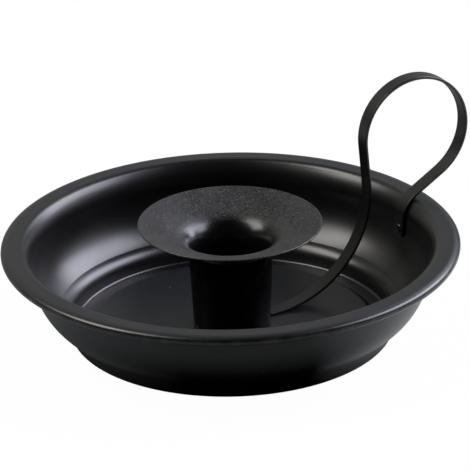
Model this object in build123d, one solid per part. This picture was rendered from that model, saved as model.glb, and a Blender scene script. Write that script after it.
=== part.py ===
from build123d import *
from math import acos, atan, atan2, cos, degrees, radians, sin, tan
import os

# Chamberstick: a sheet-steel dish, a candle socket with a drip pan, and a strap handle with a finger loop.
# Millimetres, +Z up. The origin is on the dish axis, in the plane that the dish stands on.
# The handle runs towards +X.

os.makedirs("parts", exist_ok=True)

# Dish, drawn on the under side of its sheet
dish_gauge = 0.8
rim_r = 70.0              # outside of the rolled edge
rim_top_z = 29.4
rim_width = 9.1           # from the outside of the upright wall to the rolled edge
roll_r = 1.4              # outside of the rolled edge's section
roll_turn = 205           # degrees that the edge is rolled under
droop_r = 5.0             # top of the rim, where it begins to turn down
droop = 20                # degrees that the rim turns down before the roll
rim_corner_r = 1.8
flare = 37                # degrees that the wall leans outwards below the rim
flare_r = 9.2
flare_run = 0.4           # straight part between the flare and the rim's corner
wall_upright = 0.2        # straight part between the wall's curve and the flare
foot_inset = 11.5         # from the upright wall in to the corner of the foot ring
foot_ring_width = 5.2
foot_corner_r = 1.8
drum_flare = 1.3          # how much wider the low drum is at its top
step_z = 5.5              # top of the low drum
step_corner_r = 4.2
ledge_run = 2.7           # sloped ledge between drum and wall
ledge_rise = 1.1
floor_lift = 0.9          # under side of the floor above the table
floor_slope_run = 1.5     # radial run of the slope between floor and foot ring
floor_bend_r = 0.6
ring_bend_r = 1.0

# Candle socket
sleeve_r = 11.15          # bore for a 22 mm candle
tube_gauge = 0.7
tube_widening = 0.6       # outside of the tube's foot beyond the bore
tube_taper = 2.48         # degrees each side, wider upwards
tube_corner_r = 1.2
pan_gauge = 0.6
pan_r = 28.0
pan_edge_z = 35.3
pan_slope = 18.5          # degrees, rising outwards
mouth_r = 9.0             # rounding between the pan and the sleeve

# Handle strap: a flat strip bent in the upright XZ plane, drawn on the face that lies on the floor
strap_gauge = 0.9
strap_width = 5.0
strap_gap = 0.65          # from the tube to the strip's foot
strap_foot_run = 2.1      # flat part of the foot
leg_run = 11.9            # straight part between the foot's sweep and the finger loop
loop_r = 17.37            # inside of the finger loop
loop_reach = 3.55         # loop's middle beyond the upright wall
crossing_run = 10.5       # straight part that crosses the rim
tail_turn = 13            # degrees of the wall's curve that the strip's end lies on

# Rivets
wall_rivet_r = 0.8
wall_rivet_head_r = 1.6
wall_rivet_head_h = 0.7
wall_rivet_turn = 7       # degrees down the wall's curve
socket_rivet_r = 1.5
socket_rivet_head_r = 2.9
socket_rivet_head_h = 1.1
socket_rivet_foot_h = 0.7

# Fits
rivet_clearance = 0.02
seat_clearance = 0.02

# Worked out from the above
wall_r = rim_r - rim_width
wall_face_r = wall_r - dish_gauge
foot_r = wall_r - foot_inset
step_r = foot_r + drum_flare
floor_z = floor_lift + dish_gauge
rim_under_z = rim_top_z - dish_gauge
lean = radians(flare)
flare_length = flare_r * tan(lean / 2) + flare_run + rim_corner_r * tan(radians(90 - flare) / 2)
flare_corner_z = rim_under_z - flare_length * cos(lean)
flare_z = flare_corner_z - flare_r * tan(lean / 2)
wall_z = flare_z - wall_upright
tube_base_r = sleeve_r + tube_widening
tube_slope = tan(radians(tube_taper))
tube_floor_z = floor_z + tube_gauge
upwards = (Align.CENTER, Align.CENTER, Align.MIN)

# The wall's curve runs from the ledge up to the upright wall
ledge_end = Vector(step_r + ledge_run, step_z + ledge_rise)
wall_sweep = 2 * degrees(atan((wall_r - ledge_end.X) / (wall_z - ledge_end.Y)))
wall_sweep_r = (wall_z - ledge_end.Y) / sin(radians(wall_sweep))
sweep_centre = Vector(wall_r - wall_sweep_r, wall_z)

# The strip's end stands off the wall by as much as the round wall comes in at the strip's two edges
strap_ease = wall_face_r - (wall_face_r ** 2 - strap_width ** 2 / 4) ** 0.5 + seat_clearance
strap_face_r = wall_sweep_r - dish_gauge - strap_ease - strap_gauge


def polar(centre, radius, angle):
    """Point at an angle, in degrees, about a centre."""
    return Vector(centre.X + radius * cos(radians(angle)), centre.Y + radius * sin(radians(angle)))


def rounded_line(points, radii):
    """Draws a line through the points. Each inner corner gets its own radius, as far as its sides allow."""
    pts = [Vector(*p) for p in points]
    start = pts[0]
    for corner, after, wanted in zip(pts[1:], pts[2:], radii):
        back = (start - corner).normalized()
        ahead = (after - corner).normalized()
        half = radians(back.get_angle(ahead)) / 2
        room = 0.98 * min((start - corner).length, (after - corner).length)
        radius = min(wanted, room * tan(half))
        leave = corner + back * (radius / tan(half))
        join = corner + ahead * (radius / tan(half))
        middle = corner + (back + ahead).normalized() * (radius / sin(half) - radius)
        Line(start, leave)
        ThreePointArc(leave, middle, join)
        start = join
    Line(start, pts[-1])


def tube_inner_r(z):
    """Inside radius of the candle tube at a height."""
    return tube_base_r - tube_gauge + (z - floor_z) * tube_slope


def make_dish():
    ring_r = foot_r - foot_ring_width
    foot_corners = [
        (0, floor_lift),
        (ring_r - floor_slope_run, floor_lift),
        (ring_r, 0),
        (foot_r, 0),
        (step_r, step_z),
        (ledge_end.X, ledge_end.Y),
    ]
    droop_centre = Vector(rim_r - roll_r - (droop_r - roll_r) * sin(radians(droop)), rim_top_z - droop_r)
    roll_centre = polar(droop_centre, droop_r - roll_r, 90 - droop)
    rim_corners = [
        (wall_r, wall_z),
        (wall_r, flare_corner_z),
        (wall_r + flare_length * sin(lean), rim_under_z),
        (droop_centre.X, rim_under_z),
    ]
    with BuildPart() as part:
        with BuildSketch(Plane.XZ):
            with BuildLine():
                rounded_line(foot_corners, [floor_bend_r, ring_bend_r, foot_corner_r, step_corner_r])
                CenterArc(sweep_centre, wall_sweep_r, -wall_sweep, wall_sweep)
                rounded_line(rim_corners, [flare_r, rim_corner_r])
                CenterArc(droop_centre, droop_r - dish_gauge, 90, -droop)
                CenterArc(roll_centre, roll_r - dish_gauge, 90 - droop, -roll_turn)
                offset(amount=dish_gauge, side=Side.LEFT, closed=True)
            make_face()
        revolve(axis=Axis.Z)
    return part.part - socket_rivet_hole() - wall_rivet_hole()


def make_candle_tube():
    top_z = tube_top_z()
    top_r = tube_inner_r(top_z) + tube_gauge
    with BuildPart() as part:
        with BuildSketch(Plane.XZ):
            with BuildLine():
                rounded_line([(0, floor_z), (tube_base_r, floor_z), (top_r, top_z)], [tube_corner_r])
                offset(amount=tube_gauge, side=Side.LEFT, closed=True)
            make_face()
        revolve(axis=Axis.Z)
    return part.part - socket_rivet_hole()


def mouth_centre():
    """Centre of the rounding that joins the pan to its sleeve."""
    slope = radians(pan_slope)
    x = sleeve_r + mouth_r
    line_x = x - mouth_r * sin(slope)
    line_z = pan_edge_z - (pan_r - line_x) * tan(slope)
    return Vector(x, line_z - mouth_r * cos(slope))


def tube_top_z():
    """Height at which the tube's top edge meets the underside of the mouth."""
    centre = mouth_centre()
    under_r = mouth_r - pan_gauge
    z = centre.Y
    for _ in range(20):
        reach = centre.X - tube_inner_r(z)
        z = centre.Y + max(under_r ** 2 - reach ** 2, 0) ** 0.5
    return z - seat_clearance


def sleeve_end_z():
    """Height at which the sleeve wedges in the tapered tube."""
    return floor_z + (sleeve_r + pan_gauge + seat_clearance - tube_base_r + tube_gauge) / tube_slope


def make_drip_pan():
    centre = mouth_centre()
    with BuildPart() as part:
        with BuildSketch(Plane.XZ):
            with BuildLine():
                Line((sleeve_r, sleeve_end_z()), (sleeve_r, centre.Y))
                turn = CenterArc(centre, mouth_r, 180, pan_slope - 90)
                Line(turn @ 1, (pan_r, pan_edge_z))
                offset(amount=pan_gauge, side=Side.RIGHT, closed=True)
            make_face()
        revolve(axis=Axis.Z)
    return part.part


def crossing_angle(centre, radius, next_centre, next_radius, side):
    """Angle at which a line leaves one circle to cross over to the far side of the next."""
    gap = next_centre - centre
    return degrees(atan2(gap.Y, gap.X) + side * acos((radius + next_radius) / gap.length))


def make_handle_strap():
    start_x = tube_base_r + strap_gap
    rise_x = start_x + strap_foot_run
    bend_r = flare_r + dish_gauge + strap_ease + strap_gauge
    bend_centre = Vector(wall_r + flare_r, flare_z)
    loop_x = wall_r + loop_reach
    rise = ((loop_r + bend_r) ** 2 + crossing_run ** 2 - (loop_x - bend_centre.X) ** 2) ** 0.5
    loop_centre = Vector(loop_x, flare_z + rise)
    run_x = loop_x - rise_x
    run_z = loop_centre.Y - floor_z
    sweep_r = (run_x ** 2 + run_z ** 2 - loop_r ** 2 - leg_run ** 2) / (2 * (loop_r + run_z))
    foot_centre = Vector(rise_x, floor_z + sweep_r)
    leg = crossing_angle(foot_centre, sweep_r, loop_centre, loop_r, -1)
    crossing = crossing_angle(loop_centre, loop_r, bend_centre, bend_r, 1)
    with BuildPart() as part:
        with BuildSketch(Plane.XZ.offset(-strap_width / 2)):
            with BuildLine():
                Line((start_x, floor_z), (rise_x, floor_z))
                CenterArc(foot_centre, sweep_r, -90, 90 + leg)
                Line(polar(foot_centre, sweep_r, leg), polar(loop_centre, loop_r, leg + 180))
                CenterArc(loop_centre, loop_r, leg + 180, crossing - leg - 180)
                Line(polar(loop_centre, loop_r, crossing), polar(bend_centre, bend_r, crossing + 180))
                CenterArc(bend_centre, bend_r, crossing + 180, -crossing)
                Line((bend_centre.X - bend_r, flare_z), (bend_centre.X - bend_r, wall_z))
                CenterArc(sweep_centre, strap_face_r, 0, -tail_turn)
                offset(amount=strap_gauge, side=Side.LEFT, closed=True)
            make_face()
        extrude(amount=strap_width)
    return part.part - wall_rivet_hole()


def wall_rivet_plane():
    """Rivet through strap and wall: its axis points outwards, starting on the strap's inner face."""
    start = polar(sweep_centre, strap_face_r, -wall_rivet_turn)
    outwards = polar(Vector(0, 0), 1, -wall_rivet_turn)
    return Plane((start.X, 0, start.Y), x_dir=(0, 1, 0), z_dir=(outwards.X, 0, outwards.Y))


def wall_rivet_hole():
    return wall_rivet_plane() * Cylinder(wall_rivet_r + rivet_clearance, 4 * (strap_gauge + dish_gauge))


def socket_rivet_hole():
    return Cylinder(socket_rivet_r + rivet_clearance, 2 * (tube_floor_z + socket_rivet_head_h))


def domed_head(radius, height):
    """Low domed rivet head, flat side at z 0 and dome towards -Z."""
    brim = height / 4
    dome = height - brim
    with BuildPart() as part:
        with BuildSketch(Plane.XZ):
            with BuildLine():
                Line((0, 0), (radius, 0))
                Line((radius, 0), (radius, -brim))
                RadiusArc((radius, -brim), (0, -height), (radius ** 2 + dome ** 2) / (2 * dome))
                Line((0, -height), (0, 0))
            make_face()
        revolve(axis=Axis.Z)
    return part.part


def make_wall_rivet(dish, strap):
    grip = strap_gauge + strap_ease + dish_gauge
    head = domed_head(wall_rivet_head_r, wall_rivet_head_h)
    shank = Cylinder(wall_rivet_r, grip + wall_rivet_head_h / 2, align=upwards)
    tail = Pos(0, 0, grip) * Rot(180, 0, 0) * head
    return wall_rivet_plane() * (head + shank + tail) - dish - strap


def make_socket_rivet():
    foot_z = floor_lift - socket_rivet_foot_h
    foot = Pos(0, 0, foot_z) * Cylinder(socket_rivet_head_r, socket_rivet_foot_h, align=upwards)
    shank = Pos(0, 0, floor_lift) * Cylinder(socket_rivet_r, dish_gauge + tube_gauge, align=upwards)
    head = Pos(0, 0, tube_floor_z) * Rot(180, 0, 0) * domed_head(socket_rivet_head_r, socket_rivet_head_h)
    return foot + shank + head


dish = make_dish()
strap = make_handle_strap()
pieces = {
    "dish": dish,
    "candle_tube": make_candle_tube(),
    "drip_pan": make_drip_pan(),
    "handle_strap": strap,
    "wall_rivet": make_wall_rivet(dish, strap),
    "socket_rivet": make_socket_rivet(),
}
for name, piece in pieces.items():
    piece.label = name
    export_step(piece, f"parts/{name}.step")
    box = piece.bounding_box()
    print(name, round(piece.volume, 1), len(piece.solids()), box.min, box.max)
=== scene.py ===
"""Looks for a black sheet-steel chamberstick: satin paint, with a grainy matte film on the drip pan."""
import math

import bpy
from mathutils import Matrix, Vector


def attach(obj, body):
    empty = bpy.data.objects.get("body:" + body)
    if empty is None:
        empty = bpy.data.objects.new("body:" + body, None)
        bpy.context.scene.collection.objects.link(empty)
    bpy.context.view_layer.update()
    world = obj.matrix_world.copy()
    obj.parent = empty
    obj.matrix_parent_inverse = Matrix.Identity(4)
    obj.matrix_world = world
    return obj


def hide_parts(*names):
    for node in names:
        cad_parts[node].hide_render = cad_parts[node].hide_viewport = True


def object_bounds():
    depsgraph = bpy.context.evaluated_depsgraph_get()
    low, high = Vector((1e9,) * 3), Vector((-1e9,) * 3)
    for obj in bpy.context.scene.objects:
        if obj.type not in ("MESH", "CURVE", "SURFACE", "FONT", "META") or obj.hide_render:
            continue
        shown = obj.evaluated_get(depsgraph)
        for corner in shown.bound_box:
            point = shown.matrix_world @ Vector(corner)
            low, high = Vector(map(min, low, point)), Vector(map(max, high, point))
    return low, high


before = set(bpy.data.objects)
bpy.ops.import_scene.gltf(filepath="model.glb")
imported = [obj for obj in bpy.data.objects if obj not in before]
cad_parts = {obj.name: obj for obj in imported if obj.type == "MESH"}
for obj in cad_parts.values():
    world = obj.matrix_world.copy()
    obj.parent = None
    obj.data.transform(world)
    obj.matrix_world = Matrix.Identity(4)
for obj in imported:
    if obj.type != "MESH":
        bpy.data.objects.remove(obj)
cad_low, cad_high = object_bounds()

MM = 0.001

# Dish in millimetres and degrees, drawn on the under side of its sheet
DISH_GAUGE = 0.8
RIM_R = 70.0              # outside of the rolled edge
RIM_TOP_Z = 29.4
RIM_WIDTH = 9.1           # from the outside of the upright wall to the rolled edge
ROLL_R = 1.4              # outside of the rolled edge's section
ROLL_TURN = 205
DROOP_R = 5.0             # top of the rim, where it begins to turn down
DROOP = 20
RIM_CORNER_R = 1.8
FLARE = 37                # lean of the wall below the rim
FLARE_R = 9.2
FLARE_RUN = 0.4
WALL_UPRIGHT = 0.2
FOOT_INSET = 11.5         # from the upright wall in to the corner of the foot ring
FOOT_RING_WIDTH = 5.2
FOOT_CORNER_R = 1.8
DRUM_FLARE = 1.3          # how much wider the low drum is at its top
STEP_Z = 5.5              # top of the low drum
STEP_CORNER_R = 4.2
LEDGE_RUN = 2.7
LEDGE_RISE = 1.1
FLOOR_LIFT = 0.9          # under side of the floor above the table
FLOOR_SLOPE_RUN = 1.5
FLOOR_BEND_R = 0.6
RING_BEND_R = 1.0
RIVET_HOLE_R = 1.52

# Candle tube, and the drip pan drawn on the upper side of its sheet
SLEEVE_R = 11.15
TUBE_GAUGE = 0.7
TUBE_WIDENING = 0.6       # outside of the tube's foot beyond the bore
TUBE_TAPER = 2.48
TUBE_CORNER_R = 1.2
TUBE_TOP_Z = 25.5
PAN_GAUGE = 0.6
PAN_R = 28.0
PAN_EDGE_Z = 35.3
PAN_SLOPE = 18.5
MOUTH_R = 9.0             # rounding between the pan and the sleeve

# Handle strip, drawn on the face that lies on the floor
STRAP_GAUGE = 0.9
STRAP_WIDTH = 5.0
STRAP_EDGE_R = 0.28
STRAP_GAP = 0.65          # from the tube to the strip's foot
STRAP_FOOT_RUN = 2.1
LEG_RUN = 11.9            # straight part between the foot's sweep and the finger loop
LOOP_R = 17.37
LOOP_REACH = 3.55         # loop's middle beyond the upright wall
CROSSING_RUN = 10.5       # straight part that crosses the rim
TAIL_TURN = 13            # part of the wall's curve that the strip's end lies on
SEAT_CLEARANCE = 0.02

# Camera, solved from the rim and drip-pan ellipses
IMAGE_PX = 470            # the photograph is square
AZIMUTH = -27.5           # degrees about Z from straight in front, away from the handle
ELEVATION = 24.0
ROLL = -1.30
DISTANCE = 1200 * MM
FOCAL_PX = 3945.0
AIM = Vector((1.456, 0.0, 30.87)) * MM   # right, back and up from the dish's foot, as the camera sees it
SENSOR_MM = 36.0

# Paint: the record's two slots, and linear colours
SATIN, MATTE = "satin_black_paint", "matte_black_paint"
SATIN_DARK = (0.0008, 0.0008, 0.0010)
SATIN_LIGHT = (0.0020, 0.0020, 0.0023)
TOP_LIGHT_AND_DUST = (0.0105, 0.0115, 0.0140)     # dust and painted light from above, on whatever faces up
MATTE_DARK = (0.003, 0.003, 0.003)
MATTE_LIGHT = (0.036, 0.037, 0.037)
DUST = (0.30, 0.29, 0.27)
# painted highlight along edges, with some wear
EDGE_SHEEN_AND_WEAR = (0.055, 0.054, 0.050)

# Gloss and roughness, each roughness from its smoothest to its driest
SATIN_GLOSS, DULL_GLOSS, MATTE_GLOSS = 0.5, 0.06, 0.31
SATIN_ROUGHNESS = (0.31, 0.36)
MATTE_ROUGHNESS = (0.38, 0.72)
RIVET_ROUGHNESS = (0.18, 0.26)
MOUTH_ROUGHNESS = 0.25
FINE_SPREAD = (-0.02, 0.02)              # small changes from place to place

# Where films, painted light and shade, wear and painted edge highlights lie: the upward part of the normal,
# or the distance from the axis
FILM_FLATNESS = (0.90, 0.995)
FILM_ENDS = (45.2, 46.2)                 # the film stops over the foot ring's groove, leaving it dark as painted shade
FILM_RETURNS = (52.0, 54.0)
MATTE_FLATNESS = (0.70, 0.92)
SHEEN_WEAR_WIDTH = 0.5
PAN_OUTER_R = 28.1                       # outside of the pan's rounded lip
EDGE_POINTINESS = (0.52, 0.58)

# Unevenness of the paint, in cells per metre, and the span that holds most of a noise's values
CLOUDS, PEEL, FINE, SHEEN_RUB = 45, 900, 4200, 260
MATTE_CLOUDS, MATTE_GRAIN, MATTE_FINE = 70, 1800, 3600
RIVET_SCUFF = 1800
PAPER_FIBRE = 300
SPAN = (0.3, 0.7)

# Bumps: strength and height; on the matte paint the strength grows with its film
PEEL_BUMP = (0.10, 0.02 * MM)
FINE_BUMP = (0.12, 0.008 * MM)
SCUFF_BUMP = (0.1, 0.01 * MM)
GRAIN_STRENGTH, GRAIN_HEIGHT = (0.0, 0.8), 0.05 * MM
MATTE_FINE_STRENGTH, MATTE_FINE_HEIGHT = (0.04, 0.3), 0.012 * MM

# Light: levels, each with the range of directions or distances over which it comes in
LAMP_DISTANCE = 1.3
LAMP_AIM = Vector((0, 0, 20)) * MM
LILAC = (0.86, 0.87, 1.0)
WARM = (1.0, 0.975, 0.93)
WHITE = (1, 1, 1)
FLOOR_GREY = 0.80
FLOOR_DROP = 0.05 * MM          # keeps the floor clear of the foot ring
FLOOR_TINT = (0.93, 0.97, 1.0)
FLOOR_MIRRORED = (0.0, 0.33)    # what the paint mirrors from the floor, as painted reflection: painted shade under the bowl, paler farther out
MIRRORED_REACH = (57 * MM, 85 * MM)
FLOOR_RIGHT = 0.80              # painted light: more of it to the right, where the window lights the floor
RIGHT_SIDE = (0.5, 0.95)
FLOOR_LEFT = 0.12
LEFT_SIDE = (-0.3, -0.8)
SIDE_REACH = (47 * MM, 54 * MM)
CAMERA_SHARE = 0.98             # of the plain white in what the camera sees of the floor
ROOM_TINT = (1.0, 1.0, 0.94)
SKY = (0.01, 0.34)              # level of the room in front and behind
SKY_WAY, SKY_SPREAD = (-0.24, 0.90, 0.375), (0.60, 0.94)
SKY_LEFT = 0.14                 # more of it behind on the left
LEFT_WAY, LEFT_SPREAD = (-0.69, 0.63, 0.35), (0.76, 0.97)

# Worked out from the sizes
wall_r = RIM_R - RIM_WIDTH
wall_face_r = wall_r - DISH_GAUGE
foot_r = wall_r - FOOT_INSET
step_r = foot_r + DRUM_FLARE
floor_z = FLOOR_LIFT + DISH_GAUGE
rim_under_z = RIM_TOP_Z - DISH_GAUGE
lean = math.radians(FLARE)
flare_bend = FLARE_R * math.tan(lean / 2)     # from where the flare's curve begins to its corner
rim_bend = RIM_CORNER_R * math.tan(math.radians(90 - FLARE) / 2)
flare_length = flare_bend + FLARE_RUN + rim_bend
flare_corner_z = rim_under_z - flare_length * math.cos(lean)
flare_z = flare_corner_z - flare_bend
wall_z = flare_z - WALL_UPRIGHT
tube_base_r = SLEEVE_R + TUBE_WIDENING
tube_slope = math.tan(math.radians(TUBE_TAPER))
tube_top_r = tube_base_r + (TUBE_TOP_Z - floor_z) * tube_slope

# The wall's curve runs from the ledge up to the upright wall, and the strip's end lies on it
ledge_end = Vector((step_r + LEDGE_RUN, STEP_Z + LEDGE_RISE))
wall_sweep = 2 * math.degrees(math.atan((wall_r - ledge_end.x) / (wall_z - ledge_end.y)))
wall_sweep_r = (wall_z - ledge_end.y) / math.sin(math.radians(wall_sweep))
sweep_centre = Vector((wall_r - wall_sweep_r, wall_z))
strap_ease = wall_face_r - math.sqrt(wall_face_r ** 2 - STRAP_WIDTH ** 2 / 4) + SEAT_CLEARANCE
strap_face_r = wall_sweep_r - DISH_GAUGE - strap_ease - STRAP_GAUGE


def seen(right, back, up):
    """A direction or place given as the camera sees it, in the row frame."""
    return Matrix.Rotation(math.radians(AZIMUTH), 3, "Z") @ Vector((right, back, up))


# Node helpers

class Graph:
    """A material's or world's node tree, with short calls to add and link nodes."""

    def __init__(self, tree):
        self.tree = tree
        tree.nodes.clear()

    def add(self, kind, inputs=None, **settings):
        node = self.tree.nodes.new(kind)
        for name, value in settings.items():
            setattr(node, name, value)
        for name, value in (inputs or {}).items():
            self.feed(node.inputs[name], value)
        return node

    def feed(self, socket, value):
        """Links a socket's value, or sets a plain one."""
        if isinstance(value, bpy.types.NodeSocket):
            self.tree.links.new(value, socket)
        else:
            socket.default_value = value

    def noise(self, vector, scale, detail=2.0, roughness=0.5):
        inputs = {"Vector": vector, "Scale": scale, "Detail": detail, "Roughness": roughness}
        return self.add("ShaderNodeTexNoise", inputs).outputs["Fac"]

    def remap(self, value, low, high, to_low, to_high):
        inputs = {"Value": value, "From Min": low, "From Max": high, "To Min": to_low, "To Max": to_high}
        return self.add("ShaderNodeMapRange", inputs).outputs["Result"]

    def mix(self, factor, a, b):
        """Mixes two colours, each a socket or three numbers."""
        node = self.add("ShaderNodeMix", {0: factor}, data_type="RGBA")
        for index, value in ((6, a), (7, b)):
            self.feed(node.inputs[index], value if isinstance(value, bpy.types.NodeSocket) else (*value, 1.0))
        return node.outputs[2]

    def math(self, operation, a, b):
        return self.add("ShaderNodeMath", {0: a, 1: b}, operation=operation).outputs[0]

    def vector(self, operation, a, b=None, output="Value"):
        inputs = {0: a} if b is None else {0: a, 1: b}
        return self.add("ShaderNodeVectorMath", inputs, operation=operation).outputs[output]

    def bump(self, height, strength, distance, normal=None):
        inputs = {"Height": height, "Strength": strength, "Distance": distance}
        if normal is not None:
            inputs["Normal"] = normal
        return self.add("ShaderNodeBump", inputs).outputs["Normal"]

    def place(self):
        """Position on the object, in metres."""
        return self.add("ShaderNodeTexCoord").outputs["Object"]

    def surface(self, colour, rough, normal, gloss):
        """Ends a material in one shader."""
        inputs = {"Base Color": colour, "Roughness": rough, "Normal": normal, "Specular IOR Level": gloss}
        shader = self.add("ShaderNodeBsdfPrincipled", inputs)
        self.add("ShaderNodeOutputMaterial", {"Surface": shader.outputs["BSDF"]})


def new_material(name):
    material = bpy.data.materials.new(name)
    material.use_nodes = True
    return material, Graph(material.node_tree)


def dust_specks(g, place, per_metre, size, amount):
    """Few small specks: 1 on a speck and 0 elsewhere."""
    cells = g.add("ShaderNodeTexVoronoi", {"Vector": place, "Scale": per_metre})
    near = g.math("LESS_THAN", cells.outputs["Distance"], size)
    split = g.add("ShaderNodeSeparateColor", {"Color": cells.outputs["Color"]})
    chosen = g.math("LESS_THAN", split.outputs["Red"], amount)
    return g.math("MULTIPLY", near, chosen)


def facing_up(g):
    """1 where the surface lies flat, facing up, and 0 where it stands."""
    normal = g.add("ShaderNodeNewGeometry").outputs["Normal"]
    return g.add("ShaderNodeSeparateXYZ", {0: normal}).outputs["Z"]


def axis_distance(g, place):
    """Distance from the dish's axis."""
    return g.vector("LENGTH", g.vector("MULTIPLY", place, (1, 1, 0), "Vector"))


def sharp_edges(g, place):
    """1 along outward edges and 0 on plain faces."""
    return g.remap(g.add("ShaderNodeNewGeometry").outputs["Pointiness"], *EDGE_POINTINESS, 0, 1)


def outer_edge(radius):
    """Mask for a painted highlight with some wear on the outermost part of a round piece."""
    def edges(g, place):
        return g.remap(axis_distance(g, place), (radius - SHEEN_WEAR_WIDTH) * MM, radius * MM, 0, 1)
    return edges


# Materials

def satin_paint(name, gloss, edges):
    """Smooth satin black: slight orange peel, uneven gloss, a painted highlight with some wear along the
    edges, dust and painted light from above on whatever faces up, left off as painted shade over the
    foot-ring groove.
    """
    material, g = new_material(name)
    place = g.place()
    clouds = g.noise(place, CLOUDS, detail=3)
    peel = g.noise(place, PEEL)
    fine = g.noise(place, FINE)
    colour = g.mix(g.remap(clouds, *SPAN, 0, 1), SATIN_DARK, SATIN_LIGHT)
    # Painted light from above, with dust, on whatever faces up; left off over the foot-ring groove as painted
    # shade
    film = g.math("MULTIPLY", g.remap(facing_up(g), *FILM_FLATNESS, 0, 1), g.remap(peel, *SPAN, 0.7, 1))
    reach = axis_distance(g, place)
    inside = g.remap(reach, *(r * MM for r in FILM_ENDS), 1, 0)
    beyond = g.remap(reach, *(r * MM for r in FILM_RETURNS), 0, 1)
    film = g.math("MULTIPLY", film, g.math("ADD", inside, beyond))
    colour = g.mix(film, colour, TOP_LIGHT_AND_DUST)
    # Painted highlight with some rubbed wear along the edges
    rubbed_sheen = g.remap(g.noise(place, SHEEN_RUB, detail=4), 0.45, 0.65, 0, 0.25)
    colour = g.mix(g.math("MULTIPLY", edges(g, place), rubbed_sheen), colour, EDGE_SHEEN_AND_WEAR)
    specks = dust_specks(g, place, per_metre=420, size=0.09, amount=0.035)
    colour = g.mix(g.math("MULTIPLY", specks, 0.35), colour, DUST)
    rough = g.math("ADD", g.remap(clouds, *SPAN, *SATIN_ROUGHNESS), g.remap(fine, *SPAN, *FINE_SPREAD))
    normal = g.bump(peel, *PEEL_BUMP)
    normal = g.bump(fine, *FINE_BUMP, normal)
    g.surface(colour, rough, normal, gloss)
    return material


def matte_paint():
    """Satin black with a dry, grainy matte film on whatever faces up, thinning out in the mouth, and a
    painted highlight with some wear on the lip.
    """
    material, g = new_material(MATTE)
    place = g.place()
    clouds = g.noise(place, MATTE_CLOUDS, detail=3)
    grain = g.noise(place, MATTE_GRAIN, roughness=0.6)
    fine = g.noise(place, MATTE_FINE)
    tone = g.math("ADD", g.math("MULTIPLY", clouds, 0.3), g.math("MULTIPLY", grain, 0.7))
    colour = g.mix(g.remap(tone, 0.40, 0.64, 0, 1), MATTE_DARK, MATTE_LIGHT)
    grains = dust_specks(g, place, per_metre=1500, size=0.34, amount=0.14)
    colour = g.mix(g.math("MULTIPLY", grains, 0.20), colour, DUST)
    specks = dust_specks(g, place, per_metre=300, size=0.06, amount=0.10)
    colour = g.mix(g.math("MULTIPLY", specks, 0.7), colour, DUST)
    flatness = g.math("ADD", facing_up(g), g.remap(grain, *SPAN, *FINE_SPREAD))
    cover = g.remap(flatness, *MATTE_FLATNESS, 0, 1)
    colour = g.mix(cover, SATIN_LIGHT, colour)
    # Painted highlight with some wear on the pan's lip
    worn_sheen = g.math("MULTIPLY", outer_edge(PAN_OUTER_R)(g, place), g.remap(grain, 0.35, 0.55, 0, 1))
    colour = g.mix(worn_sheen, colour, EDGE_SHEEN_AND_WEAR)
    dry = g.remap(grain, *SPAN, *MATTE_ROUGHNESS)
    drier = g.math("MULTIPLY", cover, g.math("SUBTRACT", dry, MOUTH_ROUGHNESS))
    rough = g.math("ADD", MOUTH_ROUGHNESS, drier)
    normal = g.bump(grain, g.remap(cover, 0, 1, *GRAIN_STRENGTH), GRAIN_HEIGHT)
    normal = g.bump(fine, g.remap(cover, 0, 1, *MATTE_FINE_STRENGTH), MATTE_FINE_HEIGHT, normal)
    g.surface(colour, rough, normal, MATTE_GLOSS)
    return material


def rivet_paint():
    """Glossier black, with a painted highlight and some rubbing along the edge of each rivet head."""
    material, g = new_material("rivet_paint")
    place = g.place()
    scuff = g.noise(place, RIVET_SCUFF, detail=3)
    # Painted highlight with some wear along the rivet head's edge
    worn_sheen = g.math("MULTIPLY", sharp_edges(g, place), g.remap(scuff, 0.40, 0.60, 0, 1))
    colour = g.mix(worn_sheen, SATIN_LIGHT, EDGE_SHEEN_AND_WEAR)
    rough = g.remap(scuff, *SPAN, *RIVET_ROUGHNESS)
    g.surface(colour, rough, g.bump(scuff, *SCUFF_BUMP), SATIN_GLOSS)
    return material


def floor_paper():
    """Pale paper that reads as the white background, takes the object's shadow and is clear from below; in
    reflections it shows painted shade under the bowl and painted light to the sides.
    """
    material, g = new_material("floor_paper")
    rays = g.add("ShaderNodeLightPath").outputs
    place = g.place()
    fibre = g.remap(g.noise(place, PAPER_FIBRE, detail=4), *SPAN, 0.97, 1.0)
    tone = g.mix(fibre, (FLOOR_GREY * 0.96,) * 3, (FLOOR_GREY,) * 3)
    paper = g.add("ShaderNodeBsdfDiffuse", {"Color": tone})
    mirrored = g.math("MAXIMUM", rays["Is Glossy Ray"], rays["Is Transmission Ray"])
    # In reflections the floor glows with a painted level: painted shade under the bowl, paler farther out,
    # and painted light to the right and left
    reach = g.vector("LENGTH", place)
    side = g.vector("DOT_PRODUCT", g.vector("NORMALIZE", place, output="Vector"), seen(1, 0, 0))
    lit = g.math("ADD", g.remap(side, *RIGHT_SIDE, 0, FLOOR_RIGHT), g.remap(side, *LEFT_SIDE, 0, FLOOR_LEFT))
    lit = g.math("MULTIPLY", lit, g.remap(reach, *SIDE_REACH, 0, 1))
    shade = g.remap(reach, *MIRRORED_REACH, *FLOOR_MIRRORED)
    level = g.math("MULTIPLY", mirrored, g.math("ADD", shade, lit))
    level = g.math("MAXIMUM", level, rays["Is Camera Ray"])
    tint = g.mix(rays["Is Camera Ray"], FLOOR_TINT, WHITE)
    white = g.add("ShaderNodeEmission", {"Color": tint, "Strength": level})
    share = g.math("MAXIMUM", g.math("MULTIPLY", rays["Is Camera Ray"], CAMERA_SHARE), mirrored)
    above = g.add("ShaderNodeMixShader", {0: share, 1: paper.outputs[0], 2: white.outputs[0]})
    under = g.add("ShaderNodeNewGeometry").outputs["Backfacing"]
    clear = g.add("ShaderNodeBsdfTransparent")
    shader = g.add("ShaderNodeMixShader", {0: under, 1: above.outputs[0], 2: clear.outputs[0]})
    g.add("ShaderNodeOutputMaterial", {"Surface": shader.outputs[0]})
    return material


# Stage

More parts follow.
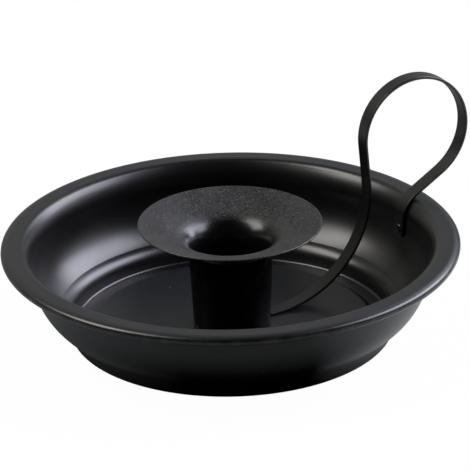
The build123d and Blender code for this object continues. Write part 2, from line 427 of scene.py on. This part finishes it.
def make_floor():
    """Wide round floor, just under the foot ring."""
    radius, rings, spokes = 3.0, 6, 64
    verts = [(0, 0, 0)]
    for ring in range(1, rings + 1):
        reach = radius * (ring / rings) ** 2
        for spoke in range(spokes):
            turn = 2 * math.pi * spoke / spokes
            verts.append((reach * math.cos(turn), reach * math.sin(turn), 0))
    faces = [(0, 1 + s, 1 + (s + 1) % spokes) for s in range(spokes)]
    for ring in range(rings - 1):
        a, b = 1 + ring * spokes, 1 + (ring + 1) * spokes
        faces += [(a + s, b + s, b + (s + 1) % spokes, a + (s + 1) % spokes) for s in range(spokes)]
    mesh = bpy.data.meshes.new("floor")
    mesh.from_pydata(verts, [], faces)
    floor = bpy.data.objects.new("floor", mesh)
    floor.location.z = cad_low.z - FLOOR_DROP
    mesh.materials.append(floor_paper())
    bpy.context.scene.collection.objects.link(floor)


def make_world():
    """Dim room: pale behind the object, most on the left, and dark overhead and behind the camera."""
    world = bpy.data.worlds.new("studio")
    bpy.context.scene.world = world
    world.use_nodes = True
    g = Graph(world.node_tree)
    way = g.add("ShaderNodeTexCoord").outputs["Generated"]
    behind = g.vector("DOT_PRODUCT", way, seen(*SKY_WAY).normalized())
    left = g.vector("DOT_PRODUCT", way, seen(*LEFT_WAY).normalized())
    level = g.math("ADD", g.remap(behind, *SKY_SPREAD, *SKY), g.remap(left, *LEFT_SPREAD, 0, SKY_LEFT))
    rays = g.add("ShaderNodeLightPath").outputs
    shown = g.math("MAXIMUM", rays["Is Camera Ray"], level)
    tint = g.mix(rays["Is Camera Ray"], ROOM_TINT, WHITE)
    light = g.add("ShaderNodeBackground", {"Color": tint, "Strength": shown})
    g.add("ShaderNodeOutputWorld", {"Surface": light.outputs[0]})


def soft_box(name, azimuth, elevation, roll, width, height, radiance, colour):
    """Area lamp that faces the dish; azimuth is turned from the camera's right towards the back."""
    a, e = math.radians(azimuth), math.radians(elevation)
    away = seen(math.cos(a) * math.cos(e), math.sin(a) * math.cos(e), math.sin(e))
    lamp = bpy.data.lights.new(name, "AREA")
    lamp.shape = "RECTANGLE"
    lamp.size, lamp.size_y = width, height
    lamp.energy = radiance * math.pi * width * height
    lamp.color = colour
    box = bpy.data.objects.new(name, lamp)
    box.location = away * LAMP_DISTANCE + LAMP_AIM
    turned = away.to_track_quat("Z", "Y").to_matrix() @ Matrix.Rotation(math.radians(roll), 3, "Z")
    box.rotation_euler = turned.to_euler()
    bpy.context.scene.collection.objects.link(box)


def make_lights():
    """A wide window on the right, with its lower and farther parts dimmer, and one high on the left."""
    # Azimuth, elevation and roll in degrees, width and height in metres, radiance, colour
    soft_box("window_right", 20, 36, -30, 1.20, 0.66, 11.5, LILAC)
    soft_box("window_right_low", 14, 14, 0, 0.80, 0.36, 0.8, LILAC)
    soft_box("window_right_far", 56, 34, 0, 0.52, 0.30, 4.2, LILAC)
    soft_box("window_left", 184, 49, 0, 0.62, 0.82, 10.0, WARM)


def make_camera():
    """Camera at the photograph's viewing angle."""
    e, turn = math.radians(ELEVATION), math.radians(ROLL)
    back = seen(0, -math.cos(e), math.sin(e))
    right = seen(1, 0, 0)
    up = back.cross(right)
    right, up = math.cos(turn) * right + math.sin(turn) * up, math.cos(turn) * up - math.sin(turn) * right
    data = bpy.data.cameras.new("camera")
    data.sensor_width = SENSOR_MM
    data.lens = FOCAL_PX / IMAGE_PX * SENSOR_MM
    data.clip_start, data.clip_end = 0.05, 20
    camera = bpy.data.objects.new("camera", data)
    place = seen(*AIM) + back * DISTANCE
    camera.matrix_world = Matrix((
        (right.x, up.x, back.x, place.x),
        (right.y, up.y, back.y, place.y),
        (right.z, up.z, back.z, place.z),
        (0, 0, 0, 1),
    ))
    bpy.context.scene.collection.objects.link(camera)
    bpy.context.scene.camera = camera


# Outlines in the XZ plane: lists of points, each with the unit normal on its left

def polar(centre, radius, angle):
    """Point at an angle, in degrees, about a centre."""
    turn = math.radians(angle)
    return Vector(centre) + Vector((math.cos(turn), math.sin(turn))) * radius


def arc(centre, radius, start, turn):
    """Samples of an arc, at most four degrees apart."""
    side = -1 if turn > 0 else 1
    steps = max(3, math.ceil(abs(turn) / 4))
    samples = []
    for step in range(steps + 1):
        angle = start + turn * step / steps
        samples.append((polar(centre, radius, angle), polar((0, 0), side, angle)))
    return samples


def rounded(corners, radii=()):
    """Samples of a line through corners, each inner corner rounded by its own radius."""
    points = [Vector(corner) for corner in corners]
    ways = [(b - a).normalized() for a, b in zip(points, points[1:])]
    lefts = [Vector((-way.y, way.x)) for way in ways]
    samples = [(points[0], lefts[0])]
    for index, radius in enumerate(radii):
        turn = math.atan2(lefts[index].dot(ways[index + 1]), ways[index].dot(ways[index + 1]))
        leave = points[index + 1] - ways[index] * radius * math.tan(abs(turn) / 2)
        hub = leave + lefts[index] * math.copysign(radius, turn)
        start = math.degrees(math.atan2(leave.y - hub.y, leave.x - hub.x))
        samples += arc(hub, radius, start, math.degrees(turn))
    return samples + [(points[-1], lefts[-1])]


def joined(*runs):
    """One outline from runs of samples; a place that two runs share is kept twice only at a crease."""
    outline = []
    for point, normal in [sample for run in runs for sample in run]:
        if outline and (point - outline[-1][0]).length < 0.001 and normal.dot(outline[-1][1]) > 0.9999:
            continue
        outline.append((point, normal))
    return outline


def shifted(outline, distance):
    """The outline moved to its left, with the two samples of a crease brought to one corner."""
    points = [point + normal * distance for point, normal in outline]
    for index, ((a, normal), (b, after)) in enumerate(zip(outline, outline[1:])):
        if (b - a).length < 0.001:
            points[index] = points[index + 1] = a + (normal + after) * distance / (1 + normal.dot(after))
    return points


def dish_outline():
    """Floor, foot ring, low drum, ledge, curved wall, flare, rim and rolled edge."""
    ring_r = foot_r - FOOT_RING_WIDTH
    foot = (
        (RIVET_HOLE_R, FLOOR_LIFT),
        (ring_r - FLOOR_SLOPE_RUN, FLOOR_LIFT),
        (ring_r, 0),
        (foot_r, 0),
        (step_r, STEP_Z),
        ledge_end,
    )
    droop_run = (DROOP_R - ROLL_R) * math.sin(math.radians(DROOP))
    droop_centre = Vector((RIM_R - ROLL_R - droop_run, RIM_TOP_Z - DROOP_R))
    roll_centre = polar(droop_centre, DROOP_R - ROLL_R, 90 - DROOP)
    rim = (
        (wall_r, wall_z),
        (wall_r, flare_corner_z),
        (wall_r + flare_length * math.sin(lean), rim_under_z),
        (droop_centre.x, rim_under_z),
    )
    return joined(
        rounded(foot, (FLOOR_BEND_R, RING_BEND_R, FOOT_CORNER_R, STEP_CORNER_R)),
        arc(sweep_centre, wall_sweep_r, -wall_sweep, wall_sweep),
        rounded(rim, (FLARE_R, RIM_CORNER_R)),
        arc(droop_centre, DROOP_R - DISH_GAUGE, 90, -DROOP),
        arc(roll_centre, ROLL_R - DISH_GAUGE, 90 - DROOP, -ROLL_TURN),
    )


def tube_outline():
    """Bottom and tapered side of the candle tube."""
    corners = ((RIVET_HOLE_R, floor_z), (tube_base_r, floor_z), (tube_top_r, TUBE_TOP_Z))
    return joined(rounded(corners, (TUBE_CORNER_R,)))


def pan_outline():
    """Sleeve, rounded mouth and sloping pan, up to where the lip's rounding begins."""
    slope = math.radians(PAN_SLOPE)
    edge = Vector((PAN_R, PAN_EDGE_Z))
    lip = edge - Vector((math.cos(slope), math.sin(slope))) * PAN_GAUGE / 2
    mouth_x = SLEEVE_R + MOUTH_R
    brim_x = mouth_x - MOUTH_R * math.sin(slope)
    brim_z = PAN_EDGE_Z - (PAN_R - brim_x) * math.tan(slope)
    mouth_z = brim_z - MOUTH_R * math.cos(slope)
    room = SLEEVE_R + PAN_GAUGE + SEAT_CLEARANCE - tube_base_r + TUBE_GAUGE
    sleeve_end_z = floor_z + room / tube_slope
    return joined(
        rounded(((SLEEVE_R, sleeve_end_z), (SLEEVE_R, mouth_z))),
        arc((mouth_x, mouth_z), MOUTH_R, 180, PAN_SLOPE - 90),
        rounded(((brim_x, brim_z), lip)),
    )


def crossing_angle(centre, radius, next_centre, next_radius, side):
    """Angle at which a line leaves one circle to cross over to the far side of the next."""
    gap = next_centre - centre
    return math.degrees(math.atan2(gap.y, gap.x) + side * math.acos((radius + next_radius) / gap.length))


def strap_path():
    """Foot, sweep, finger loop, bend over the rim, and the end on the bowl's wall."""
    start_x = tube_base_r + STRAP_GAP
    rise_x = start_x + STRAP_FOOT_RUN
    bend_r = FLARE_R + DISH_GAUGE + strap_ease + STRAP_GAUGE
    bend = Vector((wall_r + FLARE_R, flare_z))
    loop_x = wall_r + LOOP_REACH
    rise = math.sqrt((LOOP_R + bend_r) ** 2 + CROSSING_RUN ** 2 - (loop_x - bend.x) ** 2)
    loop = Vector((loop_x, flare_z + rise))
    run_x = loop_x - rise_x
    run_z = loop.y - floor_z
    sweep_r = (run_x ** 2 + run_z ** 2 - LOOP_R ** 2 - LEG_RUN ** 2) / (2 * (LOOP_R + run_z))
    foot = Vector((rise_x, floor_z + sweep_r))
    leg = crossing_angle(foot, sweep_r, loop, LOOP_R, -1)
    crossing = crossing_angle(loop, LOOP_R, bend, bend_r, 1)
    return joined(
        rounded(((start_x, floor_z), (rise_x, floor_z))),
        arc(foot, sweep_r, -90, 90 + leg),
        arc(loop, LOOP_R, leg + 180, crossing - leg - 180),
        arc(bend, bend_r, crossing + 180, -crossing),
        arc(sweep_centre, strap_face_r, 0, -TAIL_TURN),
    )


# Pieces

def paint(node, material):
    """Gives a CAD node its finish in place of the plain one."""
    node.data.materials.clear()
    node.data.materials.append(material)


def smooth_piece(name, verts, normals, faces, material, node, slot):
    """Adds a smoothly shaded piece in place of a CAD node."""
    mesh = bpy.data.meshes.new(name)
    mesh.from_pydata([Vector(v) * MM for v in verts], [], faces)
    mesh.normals_split_custom_set_from_vertices(normals)
    mesh.materials.append(material)
    piece = bpy.data.objects.new(name, mesh)
    bpy.context.scene.collection.objects.link(piece)
    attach(piece, "root")
    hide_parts(node)


def spun_sheet(name, outline, low, high, lip, *finish, spokes=240):
    """Spins a bent sheet about Z: its two faces lie at low and high on the left of the outline."""
    loop = [(point, -normal) for point, (_, normal) in zip(shifted(outline, low), outline)]
    if lip:
        end, left = outline[-1]
        ahead = Vector((left.y, -left.x))
        lip_steps = 6
        for step in range(1, lip_steps):
            turn = math.pi * step / lip_steps
            way = ahead * math.sin(turn) - left * math.cos(turn)
            loop.append((end + left * (low + high) / 2 + way * (high - low) / 2, way))
    loop += [(point, normal) for point, (_, normal) in zip(shifted(outline, high), outline)][::-1]
    verts, normals, faces = [], [], []
    count = len(loop)
    for spoke in range(spokes):
        cos, sin = math.cos(2 * math.pi * spoke / spokes), math.sin(2 * math.pi * spoke / spokes)
        verts += [(point.x * cos, point.x * sin, point.y) for point, _ in loop]
        normals += [(normal.x * cos, normal.x * sin, normal.y) for _, normal in loop]
        here, there = spoke * count, (spoke + 1) % spokes * count
        for a in range(count):
            b = (a + 1) % count
            if (loop[a][0] - loop[b][0]).length > 0.0001:
                faces.append((here + a, there + a, there + b, here + b))
    smooth_piece(name, verts, normals, faces, *finish)


def bent_strip(name, path, gauge, width, edge_r, *finish):
    """A flat strip that follows a path in the XZ plane, with its four long edges rounded."""
    section = []
    edge_steps = 4
    for depth, across, start in ((0, 1, 180), (1, 1, 90), (1, -1, 0), (0, -1, -90)):
        angles = [math.radians(start - 90 * step / edge_steps) for step in range(edge_steps + 1)]
        section += [(depth, across, angle) for angle in angles]
    rows = len(section)
    verts, normals, faces = [], [], []
    for point, left in path:
        for depth, across, angle in section:
            out, aside = math.cos(angle), math.sin(angle)
            height = (edge_r if depth == 0 else gauge - edge_r) + edge_r * out
            shift = across * (width / 2 - edge_r) + edge_r * aside
            verts.append((point.x + left.x * height, shift, point.y + left.y * height))
            normals.append((left.x * out, aside, left.y * out))
    for step in range(len(path) - 1):
        here, there = step * rows, (step + 1) * rows
        for a in range(rows):
            b = (a + 1) % rows
            faces.append((here + a, here + b, there + b, there + a))
    for end, sign in ((0, -1), (len(path) - 1, 1)):
        start = len(verts)
        verts += verts[end * rows:(end + 1) * rows]
        way = path[end][1]
        normals += [(way.y * sign, 0, -way.x * sign)] * rows
        faces.append(tuple(range(start, start + rows))[::sign])
    smooth_piece(name, verts, normals, faces, *finish)


rivet, matte = rivet_paint(), matte_paint()
satin = satin_paint(SATIN, SATIN_GLOSS, outer_edge(RIM_R))
dull = satin_paint("dull_paint", DULL_GLOSS, outer_edge(tube_top_r))
strap = satin_paint("strap_paint", SATIN_GLOSS, sharp_edges)
finishes = {
    "dish": satin,
    "candle_tube": dull,
    "drip_pan": matte,
    "handle_strap": strap,
    "wall_rivet": rivet,
    "socket_rivet": rivet,
}
for name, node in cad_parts.items():
    paint(node, finishes[name])
spun_sheet("dish_pressing", dish_outline(), 0.0, DISH_GAUGE, False, satin, "dish", SATIN)
spun_sheet("candle_tube_pressing", tube_outline(), 0.0, TUBE_GAUGE, False, dull, "candle_tube", SATIN)
spun_sheet("drip_pan_pressing", pan_outline(), -PAN_GAUGE, 0.0, True, matte, "drip_pan", MATTE)
strap_sizes = (STRAP_GAUGE, STRAP_WIDTH, STRAP_EDGE_R)
bent_strip("handle_strip", strap_path(), *strap_sizes, strap, "handle_strap", SATIN)

make_floor()
make_world()
make_lights()
make_camera()
bpy.context.scene.view_settings.view_transform = "Standard"
